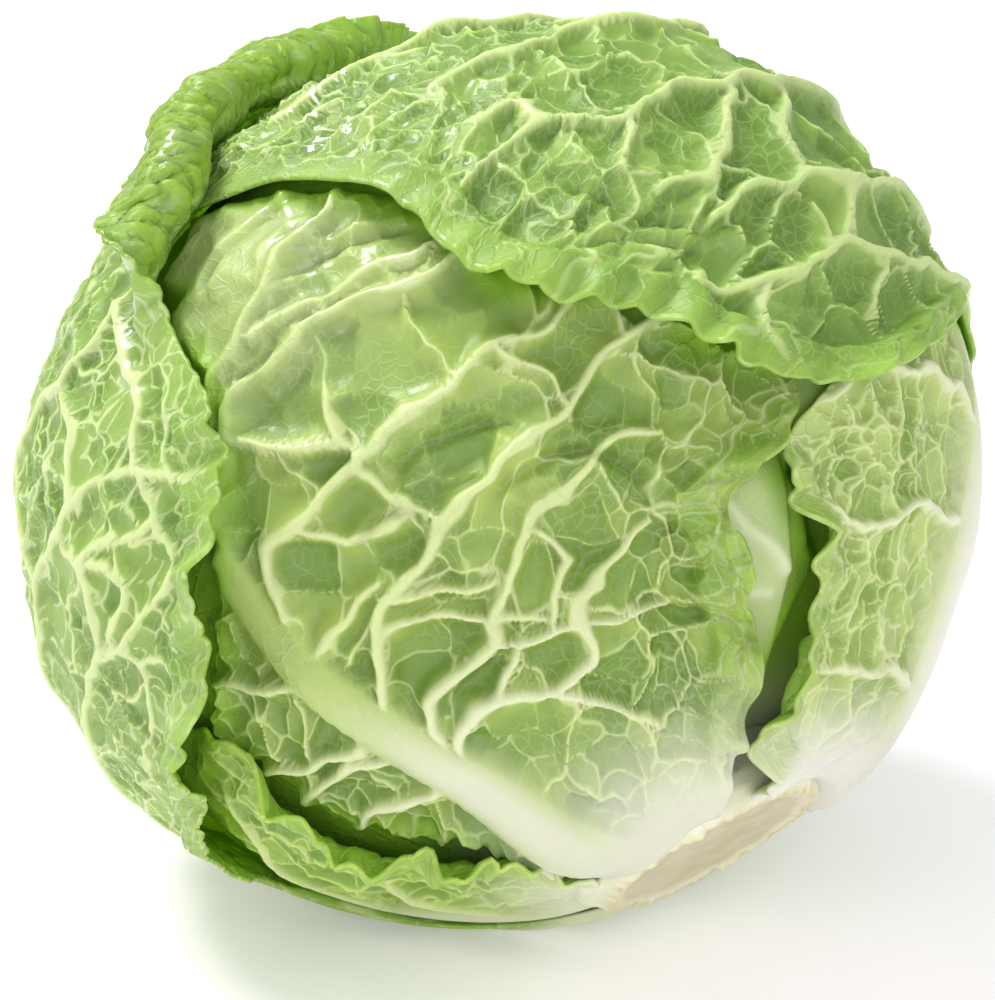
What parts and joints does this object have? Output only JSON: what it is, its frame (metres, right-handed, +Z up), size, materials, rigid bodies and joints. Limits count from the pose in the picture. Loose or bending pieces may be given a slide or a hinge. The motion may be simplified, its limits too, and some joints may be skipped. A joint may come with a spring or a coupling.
{
  "type": "savoy cabbage",
  "caption": "Whole savoy cabbage head lying on its side: puckered, net-veined leaves with ruffled margins round a tight inner head, and a cut stem stump.",
  "frame": {"origin": "on the floor, under the middle of the head's box", "axes": "+Z up from the floor; the cut stump points to -Y (front), +X (right) and down; the crown points to the back left and up"},
  "size_m": [0.1822, 0.1809, 0.1717],
  "materials": {
    "stump": "cut stem: cream pith with a fibrous straw-coloured rim, matt and slightly moist",
    "heart": "smooth pale green inner leaf with fine pale veins, softly translucent",
    "leaf_pale": "yellow-green puckered leaf with pale raised veins and a nearly white midrib, waxy satin",
    "leaf_green": "mid green puckered wrapper leaf with pale net veins and bright curled margins, waxy satin"
  },
  "bodies": {
    "root": {"stump": "stump", "heart": "heart", "leaf_front": "leaf_pale", "leaf_bottom": "leaf_green", "leaf_right": "leaf_pale", "leaf_top": "leaf_green", "leaf_left": "leaf_green"}
  },
  "joints": []
}
